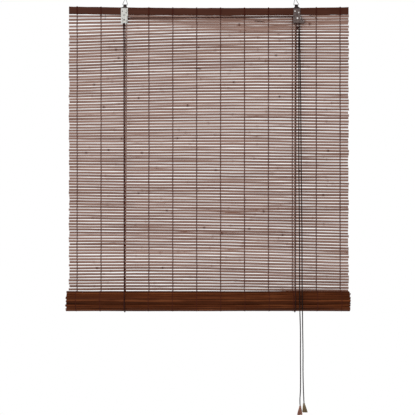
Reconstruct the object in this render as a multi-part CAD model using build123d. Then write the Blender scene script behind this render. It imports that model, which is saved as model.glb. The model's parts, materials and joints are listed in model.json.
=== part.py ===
from build123d import *
from math import pi, radians, sqrt, tan
import os

os.makedirs("parts", exist_ok=True)

# Bamboo roll up blind, partly lowered. Millimetres, X along the head rail, the room is towards -Y,
# +Z up. The origin is on the line through the two hook eyes, at the middle of the rail's length.

# Hangers: a bent wire triangle at each bracket
wire_d = 1.8
eye_height = 20.0            # from the hook's contact point down to the base of the triangle
eye_base = 18.0              # width of the base between the corners' centres
eye_corner_r = 2.2
eye_top_r = 1.6
eye_lean = {"left": 1.8, "right": -4.5}     # how far the top of each triangle leans along X

# The rail, the slats and the bottom rail are all cut to the blind's width
blind_width = 900.0

# Head rail: one bamboo lath that sags a little along its length
rail_height = 24.0
rail_thick = 8.0
rail_top_z = -29.0
rail_lift_left = 4.5         # how far the left end stands above the lowest point
rail_lift_right = 2.5
rail_low_x = 150.0

# Brackets: folded steel plate, nailed on the front of the rail, with pulleys in its lower part
sheet = 1.0
curl_clear = 0.08            # the wire turns in the curled neck with this gap
neck_width = 10.5
neck_z = -24.5
bracket_x = {"left": -271.5, "right": 283.5}
eye_x = {"left": -269.6, "right": 282.0}
bracket_width = 22.0
bracket_top_z = -30.0
cheek_top_z = -56.0          # the front cheek over the pulleys starts here
bracket_bottom_z = {"left": -79.5, "right": -79.0}
lock_left_x = 271.0
lock_top_right_x = 295.5
lock_bottom_right_x = 307.0
nail_d = 2.2
nail_length = 9.0
nail_head_d = 4.2
nail_head_h = 1.0
nail_fit = 0.05
nail_places = {"left": [(-6.5, -40.0), (5.5, -45.0)], "right": [(-6.2, -40.0), (5.5, -43.8)]}

# Pulleys, axles and lock roller, all turning about Y
pulley_width = 4.6
pulley_gap = 0.3             # beside each pulley
groove_r = 4.5
pulley_outer_r = 6.8
groove_half_bottom = 1.2
groove_half_top = 1.7
axle_d = 3.0
axle_fit = 0.05
axle_head_d = 5.6
axle_head_h = 0.8
axle_x = {"left": -272.2, "right": 284.6}
axle_z = {"left": -68.3, "right": -64.0}
roller_d = 5.0
roller_pin_d = 2.0
roller_slot_fit = 0.15
roller_x = 294.1
roller_z = -62.6
roller_travel = 11.0

# Cords and threads
cord_d = 2.0
cord_gap = 0.3               # between a cord and whatever turns or rolls under it
warp_d = 1.0
warp_gap = 0.05
warp_rail_gap = 0.12         # the thread's gap as it turns over the rail's square edges
warp_rail_turn = 0.75
cord_joint_gap = 0.15        # between two lengths of one cord that move apart
warp_inset_left = 26.0
warp_inset_right = 27.0
warp_count = 12

# Mat: split bamboo slats, flat behind and slightly domed in front
slat_height = 6.8
slat_thick = 1.6
slat_dome = 0.5
slat_pitch = 9.33
slat_first_drop = 5.7        # from the rail's lower edge to the first slat's middle
band_count = 8
slats_per_band = 12

# Roll: the turns of the mat as one solid, wound on the bottom rail
roll_r = 33.0
roll_z = -971.0
roll_over_left = 7.0         # the rolled slats' ends wander past the blind's width
roll_over_right = 2.0
roll_facets = 22
bottom_rail_height = 24.0
bottom_rail_thick = 8.0
core_gap = 0.3

# Cord anchors: a nail behind the rail with the cord's end knotted round it
anchor_x = {"left": -264.5, "right": 279.0}
anchor_z = -42.0
knot_d = 6.0
sling_x = {"left": -268.6, "right": 275.0}

# Pull cords below the lock, and their tassels
lock_exit_z = -84.0
tassel_top_r = 2.4
tassel_bottom_r = 7.0
tassel_length = 30.0
binding_height = 4.0
binding_wall = 0.7
binding_gap = 0.05

# Places worked out from the sizes above
rail_length = blind_width
slat_length = blind_width
bottom_rail_length = blind_width
roll_left_x = -blind_width / 2 - roll_over_left
roll_right_x = blind_width / 2 + roll_over_right
warp_first_x = -blind_width / 2 + warp_inset_left
warp_pitch = (blind_width - warp_inset_left - warp_inset_right) / (warp_count - 1)
wire_r = wire_d / 2
curl_inner_r = wire_r + curl_clear
plate_back_y = -curl_inner_r
plate_front_y = plate_back_y - sheet
eye_base_z = -eye_height
rail_y = plate_back_y + rail_thick / 2
rail_bottom_z = rail_top_z - rail_height
slat_first_z = rail_bottom_z - slat_first_drop
mat_half = slat_thick / 2 + warp_gap + warp_d
roll_y = rail_y + mat_half - roll_r
sling_r = roll_r + cord_gap + cord_d / 2
back_cord_y = roll_y + sling_r
front_cord_y = roll_y - sling_r
cord_turn_r = groove_r + cord_gap + cord_d / 2
gap_left = pulley_width + 2 * pulley_gap
gap_right = 2 * pulley_width + 3 * pulley_gap
pulley_y = {
    "left": plate_front_y - pulley_gap - pulley_width / 2,
    "right_rear": plate_front_y - pulley_gap - pulley_width / 2,
    "right_front": plate_front_y - 2 * pulley_gap - 1.5 * pulley_width,
}
lock_cord_x = axle_x["right"] + cord_turn_r
right_run_x = axle_x["right"] - cord_turn_r
left_run_x = axle_x["left"] - cord_turn_r

made = {}


def keep(name, shape):
    made[name] = shape
    export_step(shape, "parts/" + name + ".step")


def rod_y(x, z, radius, y_low, y_high):
    """A round bar along Y."""
    return Plane(origin=(x, y_high, z), z_dir=(0, -1, 0)) * extrude_disc(radius, y_high - y_low)


def extrude_disc(radius, length):
    return extrude(Circle(radius), amount=length)


def sheet_y(points, y_high, thick):
    """A flat plate in the XZ plane with its back face at y_high."""
    outline = Plane.XZ.offset(-y_high) * make_face(Polyline(*points, close=True))
    return extrude(outline, amount=thick)


def tube(name, points, radii, diameter):
    """A round tube along straight runs joined by tangent arcs, with its radii and volume printed."""
    path = FilletPolyline(*points, radius=radii) if radii else Line(*points)
    section = Plane(origin=path @ 0, z_dir=path % 0) * Circle(diameter / 2)
    body = sweep(section, path=path)
    share = body.volume / (pi * diameter**2 / 4 * path.length)
    bends = [round(r, 1) for r in radii]
    print(name, "length", round(path.length, 1), "radii", bends, "volume", round(share, 4))
    return body


def even_radii(points):
    """0.45 of the shorter run beside each corner, divided by the tangent of half the turn."""
    radii = []
    for before, here, after in zip(points, points[1:], points[2:]):
        run_in = Vector(*here) - Vector(*before)
        run_out = Vector(*after) - Vector(*here)
        turn = radians(run_in.get_angle(run_out))
        radii.append(0.45 * min(run_in.length, run_out.length) / tan(turn / 2))
    return radii


# Wire hangers: the wire's two ends meet inside the curled neck
def wire_hanger(side):
    centre = eye_x[side]
    half = eye_base / 2
    top = (centre + eye_lean[side], 0, wire_r + eye_top_r * 0.9)
    seam = 0.2
    points = [
        (centre + seam, 0, eye_base_z),
        (centre + half, 0, eye_base_z),
        top,
        (centre - half, 0, eye_base_z),
        (centre - seam, 0, eye_base_z),
    ]
    return tube("wire_hanger_" + side, points, [eye_corner_r, eye_top_r, eye_corner_r], wire_d)


for side in ("left", "right"):
    keep("wire_hanger_" + side, wire_hanger(side))


# Head rail with a nail hole for each bracket nail and each cord anchor
def head_rail():
    half = rail_length / 2
    top_edge = ThreePointArc(
        (-half, rail_top_z + rail_lift_left), (rail_low_x, rail_top_z), (half, rail_top_z + rail_lift_right)
    )
    low_edge = ThreePointArc(
        (-half, rail_bottom_z + rail_lift_left),
        (rail_low_x, rail_bottom_z),
        (half, rail_bottom_z + rail_lift_right),
    )
    ends = [Line(top_edge @ 0, low_edge @ 0), Line(top_edge @ 1, low_edge @ 1)]
    outline = Plane.XZ.offset(-(plate_back_y + rail_thick)) * make_face([top_edge, low_edge, *ends])
    lath = extrude(outline, amount=rail_thick)
    hole_r = nail_d / 2 + nail_fit
    for side in ("left", "right"):
        for dx, z in nail_places[side]:
            lath -= rod_y(bracket_x[side] + dx, z, hole_r, plate_back_y - 1, plate_back_y + rail_thick - 1)
        lath -= rod_y(anchor_x[side], anchor_z, hole_r, plate_back_y + 2, plate_back_y + rail_thick + 1)
    return lath


keep("head_rail", head_rail())


# Brackets
def curled_neck(side):
    ring = Circle(curl_inner_r + sheet) - Circle(curl_inner_r)
    mouth = make_face(Polyline((0, 0), (4, -0.6), (4, -4), (0.6, -4), close=True))
    curl = Plane(origin=(eye_x[side] - neck_width / 2, 0, eye_base_z), z_dir=(1, 0, 0), x_dir=(0, 1, 0))
    return extrude(curl * (ring - mouth), amount=neck_width)


def nail_plate(side, low_points):
    neck_left = eye_x[side] - neck_width / 2
    neck_right = eye_x[side] + neck_width / 2
    left = bracket_x[side] - bracket_width / 2
    right = bracket_x[side] + bracket_width / 2
    points = [
        (left, bracket_top_z),
        (neck_left, neck_z),
        (neck_left, eye_base_z),
        (neck_right, eye_base_z),
        (neck_right, neck_z),
        (right, bracket_top_z),
        *low_points,
    ]
    return sheet_y(points, plate_back_y, sheet)


def pierce(shape, side, gap):
    axle_r = axle_d / 2 + axle_fit
    shape -= rod_y(axle_x[side], axle_z[side], axle_r, plate_front_y - gap - 2 * sheet, plate_back_y + 1)
    for dx, z in nail_places[side]:
        x = bracket_x[side] + dx
        shape -= rod_y(x, z, nail_d / 2 + nail_fit, plate_front_y - 1, plate_back_y + 1)
    return shape


def bracket_left():
    left = bracket_x["left"] - bracket_width / 2
    right = bracket_x["left"] + bracket_width / 2
    low = bracket_bottom_z["left"]
    plate = nail_plate("left", [(right, low), (left, low)])
    cheek_y = plate_front_y - gap_left
    lobe = 2.5
    middle = bracket_x["left"]
    cheek_points = [
        (left, cheek_top_z),
        (right - 1, cheek_top_z),
        (right - 1, low + lobe),
        (right - 1 - lobe, low),
        (middle + 2, low),
        (middle, low + lobe),
        (middle - 2, low),
        (left, low),
    ]
    cheek = sheet_y(cheek_points, cheek_y, sheet)
    web = Pos(left + sheet / 2, (plate_front_y + cheek_y) / 2, (cheek_top_z + low) / 2) * Box(
        sheet, gap_left, cheek_top_z - low
    )
    top_web = Pos(middle - 0.5, (plate_front_y + cheek_y) / 2, cheek_top_z - sheet / 2) * Box(
        bracket_width - 1, gap_left, sheet
    )
    return pierce(curled_neck("left") + plate + cheek + web + top_web, "left", gap_left)


def lock_outline():
    low = bracket_bottom_z["right"]
    return [
        (lock_left_x, cheek_top_z),
        (lock_top_right_x, cheek_top_z),
        (lock_bottom_right_x, low),
        (lock_left_x, low),
    ]


def roller_slot(gap):
    """The slanted slot that the lock roller's pin slides in, through both plates."""
    width = roller_pin_d + 2 * roller_slot_fit
    reach = roller_travel + width
    mid = roller_travel / 2
    run = Vector(lock_bottom_right_x - lock_top_right_x, 0, bracket_bottom_z["right"] - cheek_top_z).normalized()
    centre = Vector(roller_x, plate_back_y + 1, roller_z) + run * mid
    slot = Plane(origin=centre, z_dir=(0, -1, 0), x_dir=run) * SlotOverall(reach, width)
    return extrude(slot, amount=gap + 2 * sheet + 2), run


def bracket_right():
    low = bracket_bottom_z["right"]
    right = bracket_x["right"] + bracket_width / 2
    left = bracket_x["right"] - bracket_width / 2
    outline = lock_outline()
    steps = [(right, cheek_top_z), *outline[1:], outline[0], (left, cheek_top_z)]
    plate = nail_plate("right", steps)
    cheek_y = plate_front_y - gap_right
    cheek = sheet_y(outline, cheek_y, sheet)
    mid_y = (plate_front_y + cheek_y) / 2
    flange_low = low - 3.0
    flange = Pos(lock_left_x + sheet / 2, mid_y - sheet / 2, (cheek_top_z + flange_low) / 2) * Box(
        sheet, gap_right + sheet, cheek_top_z - flange_low
    )
    # the left cord comes in through a slot in the flange
    cord_z = axle_z["right"] + cord_turn_r
    flange -= Pos(lock_left_x + sheet / 2, pulley_y["right_rear"], cord_z - 0.5) * Box(
        2 * sheet, cord_d + 1.2, cord_d + 3
    )
    slope = sheet_y([outline[1], outline[2], (outline[2][0] - 1.13, low), (outline[1][0] - 1.13, cheek_top_z)],
                    plate_front_y, gap_right)
    body = pierce(curled_neck("right") + plate + cheek + flange + slope, "right", gap_right)
    return body - roller_slot(gap_right)[0]


keep("bracket_left", bracket_left())
keep("bracket_right", bracket_right())


# Nails
def nail(x, z, head_y, length, way):
    """way is +1 for a nail driven towards +Y, -1 for one driven towards -Y."""
    shank_end = head_y + way * length
    head_end = head_y - way * nail_head_h
    shank = rod_y(x, z, nail_d / 2, min(head_y, shank_end), max(head_y, shank_end))
    head = rod_y(x, z, nail_head_d / 2, min(head_y, head_end), max(head_y, head_end))
    return shank + head


bracket_nails = []
for side in ("left", "right"):
    for dx, z in nail_places[side]:
        shank_length = sheet + rail_thick - 1.5
        bracket_nails.append(nail(bracket_x[side] + dx, z, plate_front_y, shank_length, 1))
keep("bracket_nails", Compound(bracket_nails))

rail_back_y = plate_back_y + rail_thick
knot_y = rail_back_y + knot_d / 2 + 0.1
for side in ("left", "right"):
    anchor = nail(anchor_x[side], anchor_z, rail_back_y + knot_d + 0.2, knot_d + 0.2 + rail_thick - 2.5, -1)
    keep("cord_nail_" + side, anchor)
    knot = Pos(anchor_x[side], knot_y, anchor_z) * Sphere(knot_d / 2)
    knot -= rod_y(anchor_x[side], anchor_z, nail_d / 2 + nail_fit, rail_back_y - 1, rail_back_y + knot_d + 1)
    knot -= Pos(anchor_x[side], knot_y, anchor_z - knot_d) * Box(knot_d, knot_d, knot_d + 0.8)
    keep("cord_knot_" + side, knot)


# Pulleys and axles
def pulley(x, y, z):
    half = pulley_width / 2
    bore = axle_d / 2 + axle_fit
    profile = make_face(Polyline(
        (bore, -half), (pulley_outer_r, -half), (pulley_outer_r, -groove_half_top), (groove_r, -groove_half_bottom),
        (groove_r, groove_half_bottom), (pulley_outer_r, groove_half_top), (pulley_outer_r, half), (bore, half),
        close=True,
    ))
    wheel = revolve(Plane.XY * profile, axis=Axis.Y)
    return Pos(x, y, z) * wheel


def axle(side, gap):
    x = axle_x[side]
    z = axle_z[side]
    front = plate_front_y - gap - sheet
    shaft = rod_y(x, z, axle_d / 2, front, plate_back_y)
    front_head = rod_y(x, z, axle_head_d / 2, front - axle_head_h, front)
    rear_head = rod_y(x, z, axle_head_d / 2, plate_back_y, plate_back_y + axle_head_h)
    return shaft + front_head + rear_head


keep("pulley_left", pulley(axle_x["left"], pulley_y["left"], axle_z["left"]))
keep("pulley_right_rear", pulley(axle_x["right"], pulley_y["right_rear"], axle_z["right"]))
keep("pulley_right_front", pulley(axle_x["right"], pulley_y["right_front"], axle_z["right"]))
keep("pulley_axle_left", axle("left", gap_left))
keep("pulley_axle_right", axle("right", gap_right))

# Lock roller: its pin ends stand in the slanted slots
roller_y = (plate_front_y + plate_front_y - gap_right) / 2
roller_half = gap_right / 2 - pulley_gap
pin_half = gap_right / 2 + sheet
lock_roller = rod_y(roller_x, roller_z, roller_d / 2, roller_y - roller_half, roller_y + roller_half)
lock_roller += rod_y(roller_x, roller_z, roller_pin_d / 2, roller_y - pin_half, roller_y + pin_half)
keep("lock_roller", lock_roller)
roller_run = roller_slot(gap_right)[1]
print("lock roller runs along", [round(v, 4) for v in (roller_run.X, roller_run.Y, roller_run.Z)])


# Mat slats
def slat(z):
    half = slat_height / 2
    back = slat_thick / 2
    edge = back - slat_thick + slat_dome
    front = back - slat_thick
    outline = [
        Line((back, -half), (back, half)),
        Line((back, half), (edge, half)),
        ThreePointArc((edge, half), (front, 0), (edge, -half)),
        Line((edge, -half), (back, -half)),
    ]
    section = Plane(origin=(-slat_length / 2, rail_y, z), z_dir=(1, 0, 0), x_dir=(0, 1, 0)) * make_face(outline)
    return extrude(section, amount=slat_length)


for band in range(band_count):
    first = band * slats_per_band
    slats = [slat(slat_first_z - slat_pitch * (first + step)) for step in range(slats_per_band)]
    keep(f"mat_slats_{band + 1:02d}", Compound(slats))
mat_end_z = slat_first_z - slat_pitch * (band_count * slats_per_band - 1) - slat_height / 2


# Warp threads: each runs up the front of the slats, over the rail and down the back.
# One that a bracket covers turns under the rail instead.
def warp_thread(x):
    front = rail_y - slat_thick / 2 - warp_gap - warp_d / 2
    back = rail_y + slat_thick / 2 + warp_gap + warp_d / 2
    low = mat_end_z
    covered = any(abs(x - bracket_x[side]) < bracket_width / 2 + 4 for side in bracket_x)
    if covered:
        top = rail_bottom_z - warp_d
        points = [(x, front, low), (x, front, top), (x, back, top), (x, back, low)]
        return points, [1.2, 1.2]
    lift = rail_lift(x)
    over = rail_top_z + lift + warp_rail_gap + warp_d / 2
    out_front = plate_back_y - warp_rail_gap - warp_d / 2
    out_back = rail_back_y + warp_rail_gap + warp_d / 2
    under = rail_bottom_z + lift - 1.0
    joined = slat_first_z + slat_height / 2 - 1.0
    points = [
        (x, front, low), (x, front, joined), (x, out_front, under), (x, out_front, over),
        (x, out_back, over), (x, out_back, under), (x, back, joined), (x, back, low),
    ]
    return points, [1.5, 1.5, warp_rail_turn, warp_rail_turn, 1.5, 1.5]


def rail_lift(x):
    """How far the rail's edge stands above its lowest point, from the arc through its three points."""
    half = rail_length / 2
    arc = ThreePointArc((-half, rail_lift_left), (rail_low_x, 0), (half, rail_lift_right))
    centre = arc.arc_center
    return centre.Y - sqrt(arc.radius**2 - (x - centre.X) ** 2)


for number in range(warp_count):
    points, radii = warp_thread(warp_first_x + number * warp_pitch)
    name = f"warp_thread_{number + 1:02d}"
    keep(name, tube(name, points, radii, warp_d))

# Lift cords. Each is tied behind the rail, goes down behind the mat, under the roll and up in front.
run_straight = 25.0
for side, top_x, top_y, top_z in (
    ("left", left_run_x, pulley_y["left"], axle_z["left"] - 2),
    ("right", right_run_x, pulley_y["right_front"], axle_z["right"] - 2),
):
    x = sling_x[side]
    back_top = anchor_z - 2.6
    tied_y = rail_back_y + cord_d / 2 + 0.1
    points = [
        (anchor_x[side], tied_y, back_top),
        (anchor_x[side], tied_y, rail_bottom_z - run_straight),
        (x, back_cord_y, roll_z + run_straight),
        (x, back_cord_y, roll_z + cord_gap),
    ]
    keep(f"lift_cord_{side}_back", tube(f"lift_cord_{side}_back", points, [200.0, 200.0], cord_d))
    points = [
        (x, front_cord_y, roll_z + cord_gap),
        (x, front_cord_y, roll_z + run_straight),
        (top_x, top_y, top_z - 2 * run_straight),
        (top_x, top_y, top_z),
    ]
    keep(f"lift_cord_{side}_front", tube(f"lift_cord_{side}_front", points, [200.0, 200.0], cord_d))
    bend = Plane(origin=(x, roll_y, roll_z), z_dir=(1, 0, 0), x_dir=(0, 1, 0)) * CenterArc(
        (0, 0), sling_r, 180, 180
    )
    section = Plane(origin=bend @ 0, z_dir=bend % 0) * Circle(cord_d / 2)
    keep(f"cord_sling_{side}", sweep(section, path=bend))

# Over the pulleys: the left cord crosses under the rail to the lock, beside the right one
left_top = axle_z["left"] + cord_turn_r
right_top = axle_z["right"] + cord_turn_r
y = pulley_y["left"]
cross = [
    (left_run_x, y, axle_z["left"] - 2),
    (left_run_x, y, left_top),
    (lock_cord_x, y, right_top),
    (lock_cord_x, y, lock_exit_z),
]
keep("cross_cord", tube("cross_cord", cross, [cord_turn_r, cord_turn_r], cord_d))
y = pulley_y["right_front"]
over = [
    (right_run_x, y, axle_z["right"] - 2),
    (right_run_x, y, right_top),
    (lock_cord_x, y, right_top),
    (lock_cord_x, y, lock_exit_z),
]
keep("lock_cord", tube("lock_cord", over, [cord_turn_r - 0.05, cord_turn_r - 0.05], cord_d))


# Roll and bottom rail
def rolled_mat():
    section = RegularPolygon(roll_r, roll_facets)
    section -= Rectangle(bottom_rail_thick + 2 * core_gap, bottom_rail_height + 2 * core_gap)
    place = Plane(origin=(roll_left_x, roll_y, roll_z), z_dir=(1, 0, 0), x_dir=(0, 1, 0))
    return extrude(place * section, amount=roll_right_x - roll_left_x)


keep("rolled_mat", rolled_mat())
keep("bottom_rail", Pos(0, roll_y, roll_z) * Box(bottom_rail_length, bottom_rail_thick, bottom_rail_height))

# Pull cords: each hangs from the lock, lies over the front of the roll and hangs free below it
left_upper = [
    (lock_cord_x, pulley_y["right_rear"], lock_exit_z - cord_joint_gap),
    (288.8, -9.5, -140.0),
    (290.6, -18.0, -280.0),
    (289.4, front_cord_y + 29.43, -500.0),
    (291.8, front_cord_y + 15.43, -730.0),
    (292.2, front_cord_y + 2.23, -925.0),
    (292.8, front_cord_y, roll_z + cord_joint_gap),
]
left_lower = [
    (292.8, front_cord_y, roll_z - cord_joint_gap),
    (293.5, front_cord_y - 0.4, -1012.0),
    (295.4, front_cord_y - 0.2, -1070.0),
    (294.9, front_cord_y + 0.6, -1140.0),
    (295.6, front_cord_y + 0.3, -1205.0),
    (295.2, front_cord_y + 0.8, -1262.0),
    (292.9, front_cord_y + 0.4, -1290.0),
    (294.2, front_cord_y + 0.2, -1308.0),
]
right_upper = [
    (lock_cord_x, pulley_y["right_front"], lock_exit_z - cord_joint_gap),
    (292.6, -14.5, -140.0),
    (296.0, -23.5, -290.0),
    (297.2, front_cord_y + 25.43, -510.0),
    (300.0, front_cord_y + 12.93, -740.0),
    (300.4, front_cord_y + 1.63, -930.0),
    (300.8, front_cord_y, roll_z + cord_joint_gap),
]
right_lower = [
    (300.8, front_cord_y, roll_z - cord_joint_gap),
    (301.8, front_cord_y - 0.4, -1010.0),
    (302.3, front_cord_y + 0.2, -1065.0),
    (303.6, front_cord_y - 0.3, -1130.0),
    (303.3, front_cord_y + 0.5, -1190.0),
    (304.9, front_cord_y, -1245.0),
    (307.4, front_cord_y + 0.4, -1280.0),
    (308.6, front_cord_y + 0.2, -1300.0),
]


def pull_cord(name, points):
    keep(name, tube(name, points, even_radii(points), cord_d))


pull_cord("pull_cord_left_upper", left_upper)
pull_cord("pull_cord_left_lower", left_lower)
pull_cord("pull_cord_right_upper", right_upper)
pull_cord("pull_cord_right_lower", right_lower)


# Tassels: a bound head over a skirt of threads
def tassel(x, y, top_z):
    profile = make_face([
        Line((0, 0), (tassel_top_r, 0)),
        Line((tassel_top_r, 0), (tassel_top_r, -binding_height)),
        ThreePointArc(
            (tassel_top_r, -binding_height),
            (tassel_bottom_r * 0.78, -tassel_length * 0.55),
            (tassel_bottom_r, -tassel_length),
        ),
        Line((tassel_bottom_r, -tassel_length), (0, -tassel_length)),
        Line((0, -tassel_length), (0, 0)),
    ])
    skirt = Pos(x, y, top_z) * revolve(Plane.XZ * profile, axis=Axis.Z)
    inner = tassel_top_r + binding_gap
    ring = extrude(Circle(inner + binding_wall) - Circle(inner), amount=binding_height - 0.8)
    return skirt, Pos(x, y, top_z - binding_height + 0.6) * ring


for side, route in (("left", left_lower), ("right", right_lower)):
    x, y, z = route[-1]
    skirt, binding = tassel(x, y, z - 0.1)
    keep("tassel_" + side, skirt)
    keep("tassel_binding_" + side, binding)

print(len(made), "nodes, mat ends at", round(mat_end_z, 1), "roll centre y", round(roll_y, 2))
print("front cord y", round(front_cord_y, 2), "back cord y", round(back_cord_y, 2), "lock cord x", lock_cord_x)
print("pulley y", pulley_y, "runs", left_run_x, right_run_x)
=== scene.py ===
import bpy
import json
import numpy as np
from math import cos, pi, sin
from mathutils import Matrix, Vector


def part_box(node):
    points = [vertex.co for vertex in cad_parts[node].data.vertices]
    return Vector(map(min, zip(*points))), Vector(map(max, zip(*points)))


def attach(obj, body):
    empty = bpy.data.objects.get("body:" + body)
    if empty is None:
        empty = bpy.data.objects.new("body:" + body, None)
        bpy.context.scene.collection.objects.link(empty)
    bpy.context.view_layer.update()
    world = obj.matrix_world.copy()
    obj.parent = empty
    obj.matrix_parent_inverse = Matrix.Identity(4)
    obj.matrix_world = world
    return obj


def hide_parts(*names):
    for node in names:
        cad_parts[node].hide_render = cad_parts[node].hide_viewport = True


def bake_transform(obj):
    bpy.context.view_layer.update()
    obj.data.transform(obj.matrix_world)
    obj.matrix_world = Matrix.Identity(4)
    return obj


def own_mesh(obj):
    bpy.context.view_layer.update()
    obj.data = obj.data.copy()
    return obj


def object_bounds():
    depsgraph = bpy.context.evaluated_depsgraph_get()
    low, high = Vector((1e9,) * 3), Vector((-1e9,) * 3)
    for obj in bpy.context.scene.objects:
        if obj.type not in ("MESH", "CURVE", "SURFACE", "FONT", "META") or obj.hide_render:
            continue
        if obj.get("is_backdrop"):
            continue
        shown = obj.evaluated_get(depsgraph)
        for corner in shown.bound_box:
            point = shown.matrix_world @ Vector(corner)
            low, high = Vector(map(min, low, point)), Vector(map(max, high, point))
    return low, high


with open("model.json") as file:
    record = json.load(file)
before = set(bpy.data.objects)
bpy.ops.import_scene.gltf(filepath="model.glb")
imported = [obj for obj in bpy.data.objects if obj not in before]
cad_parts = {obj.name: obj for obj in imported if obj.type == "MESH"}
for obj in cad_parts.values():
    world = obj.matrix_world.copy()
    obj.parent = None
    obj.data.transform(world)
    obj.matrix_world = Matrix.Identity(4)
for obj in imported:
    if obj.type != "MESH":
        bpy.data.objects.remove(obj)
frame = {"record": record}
cadLow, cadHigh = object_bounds()
joints = {joint["name"]: joint for joint in frame["record"]["behaviour"]["joints"]}
mm = 0.001
rng = np.random.default_rng(41)


def middleOf(node, axis):
    low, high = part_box(node)
    return (low[axis] + high[axis]) / 2


# Places read from the frame
railLow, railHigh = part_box("head_rail")
rollLow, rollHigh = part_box("rolled_mat")
slatLow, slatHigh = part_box("mat_slats_01")
railY = middleOf("head_rail", 1)
railHeight = 24 * mm    # the lath's own height, without its bow
rollY = middleOf("rolled_mat", 1)
rollZ = joints["roll_turn"]["pos_m"][2]
rollRadius = (rollHigh[1] - rollLow[1]) / 2

cameraLook = {
    "distance": 4.5,        # from the lens to the mat
    "frameWidth": 1.3367,   # what the view spans at the mat
    "centreX": -0.0042,
    "centreZ": -0.6716,
}
bpy.ops.object.camera_add(
    location=(cameraLook["centreX"], railY - cameraLook["distance"], cameraLook["centreZ"]),
    rotation=(pi / 2, 0, 0))
camera = bpy.context.object
camera.name = "frontCamera"
camera.data.lens = camera.data.sensor_width * cameraLook["distance"] / cameraLook["frameWidth"]
camera.data.clip_end = 50
bpy.context.scene.camera = camera
print("camera set")


def only(piece):
    bpy.ops.object.select_all(action="DESELECT")
    piece.select_set(True)
    bpy.context.view_layer.objects.active = piece


def settle(piece):
    only(piece)
    bpy.ops.object.transform_apply(location=True, rotation=True, scale=True)


def joined(pieces, name):
    only(pieces[0])
    for piece in pieces:
        piece.select_set(True)
    bpy.ops.object.join()
    whole = bpy.context.object
    whole.name = name
    whole.data.name = name
    settle(whole)
    return whole


def addCube(name, location, scale):
    bpy.ops.mesh.primitive_cube_add(size=1, location=location)
    cube = bpy.context.object
    cube.name = name
    cube.scale = scale
    settle(cube)
    return cube


def selectEdges(piece, wanted):
    # leaves the piece in edit mode with only the wanted edges selected
    only(piece)
    bpy.context.tool_settings.mesh_select_mode = (False, True, False)
    mesh = piece.data
    for group in (mesh.polygons, mesh.edges, mesh.vertices):
        group.foreach_set("select", [False] * len(group))
    for edge in mesh.edges:
        ends = [mesh.vertices[index].co for index in edge.vertices]
        edge.select = bool(wanted(*ends))
    bpy.ops.object.mode_set(mode="EDIT")


def lengthwise(a, b):
    return abs(a.x - b.x) > 1e-5


def bevelEdges(piece, wanted, offset, segments):
    selectEdges(piece, wanted)
    bpy.ops.mesh.bevel(offset=offset, offset_type="OFFSET", segments=segments, affect="EDGES")
    bpy.ops.object.mode_set(mode="OBJECT")


def cutAcross(piece, cuts):
    selectEdges(piece, lengthwise)
    bpy.ops.mesh.subdivide(number_cuts=cuts)
    bpy.ops.object.mode_set(mode="OBJECT")


def takePlace(piece, body, node=None):
    if node:
        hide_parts(node)
    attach(piece, body)


def addFloats(mesh, name, values):
    layer = mesh.attributes.new(name, "FLOAT", "POINT")
    layer.data.foreach_set("value", np.asarray(values, np.float32))


def setMaterial(piece, *materials):
    piece.data.materials.clear()
    for material in materials:
        piece.data.materials.append(material)


# Materials. Each reads Object coordinates or the piece's own attributes.
def newMaterial(name, roughness=0.5, metallic=0.0):
    material = bpy.data.materials.new(name)
    material.use_nodes = True
    tree = material.node_tree
    shader = tree.nodes["Principled BSDF"]
    shader.inputs["Roughness"].default_value = roughness
    shader.inputs["Metallic"].default_value = metallic
    return material, tree, shader


def objectNoise(tree, size, detail=4.0, roughness=0.55, scale=(1, 1, 1)):
    where = tree.nodes.new("ShaderNodeTexCoord")
    mapping = tree.nodes.new("ShaderNodeMapping")
    mapping.inputs["Scale"].default_value = scale
    noise = tree.nodes.new("ShaderNodeTexNoise")
    noise.inputs["Scale"].default_value = size
    noise.inputs["Detail"].default_value = detail
    noise.inputs["Roughness"].default_value = roughness
    tree.links.new(where.outputs["Object"], mapping.inputs["Vector"])
    tree.links.new(mapping.outputs["Vector"], noise.inputs["Vector"])
    return noise.outputs["Fac"]


def attributeValue(tree, name):
    node = tree.nodes.new("ShaderNodeAttribute")
    node.attribute_name = name
    return node.outputs["Fac"]


def ramp(tree, source, *stops):
    node = tree.nodes.new("ShaderNodeValToRGB")
    elements = node.color_ramp.elements
    while len(elements) < len(stops):
        elements.new(0.5)
    for element, (place, colour) in zip(elements, stops):
        element.position = place
        element.color = (*colour, 1)
    tree.links.new(source, node.inputs["Fac"])
    return node.outputs["Color"]


def feed(tree, socket, value):
    # from a value, a colour or a node
    if isinstance(value, (int, float)):
        socket.default_value = value
    elif isinstance(value, tuple):
        socket.default_value = (*value, 1)
    else:
        tree.links.new(value, socket)


def mixColour(tree, kind, amount, first, second):
    node = tree.nodes.new("ShaderNodeMix")
    node.data_type = "RGBA"
    node.blend_type = kind
    feed(tree, node.inputs["Factor"], amount)
    feed(tree, node.inputs[6], first)
    feed(tree, node.inputs[7], second)
    return node.outputs[2]


def mathNode(tree, kind, first, second):
    node = tree.nodes.new("ShaderNodeMath")
    node.operation = kind
    feed(tree, node.inputs[0], first)
    feed(tree, node.inputs[1], second)
    return node.outputs[0]


def mapRange(tree, source, low, high, newLow, newHigh):
    node = tree.nodes.new("ShaderNodeMapRange")
    for socket, value in zip(node.inputs[1:5], (low, high, newLow, newHigh)):
        socket.default_value = value
    tree.links.new(source, node.inputs[0])
    return node.outputs[0]


def bump(tree, shader, source, strength, distance):
    node = tree.nodes.new("ShaderNodeBump")
    node.inputs["Strength"].default_value = strength
    node.inputs["Distance"].default_value = distance
    tree.links.new(source, node.inputs["Height"])
    tree.links.new(node.outputs["Normal"], shader.inputs["Normal"])


def weighed(tree, first, share, second):
    # a share of the first and the rest of the second
    return mathNode(tree, "ADD", mathNode(tree, "MULTIPLY", first, share),
                    mathNode(tree, "MULTIPLY", second, 1 - share))


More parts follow.
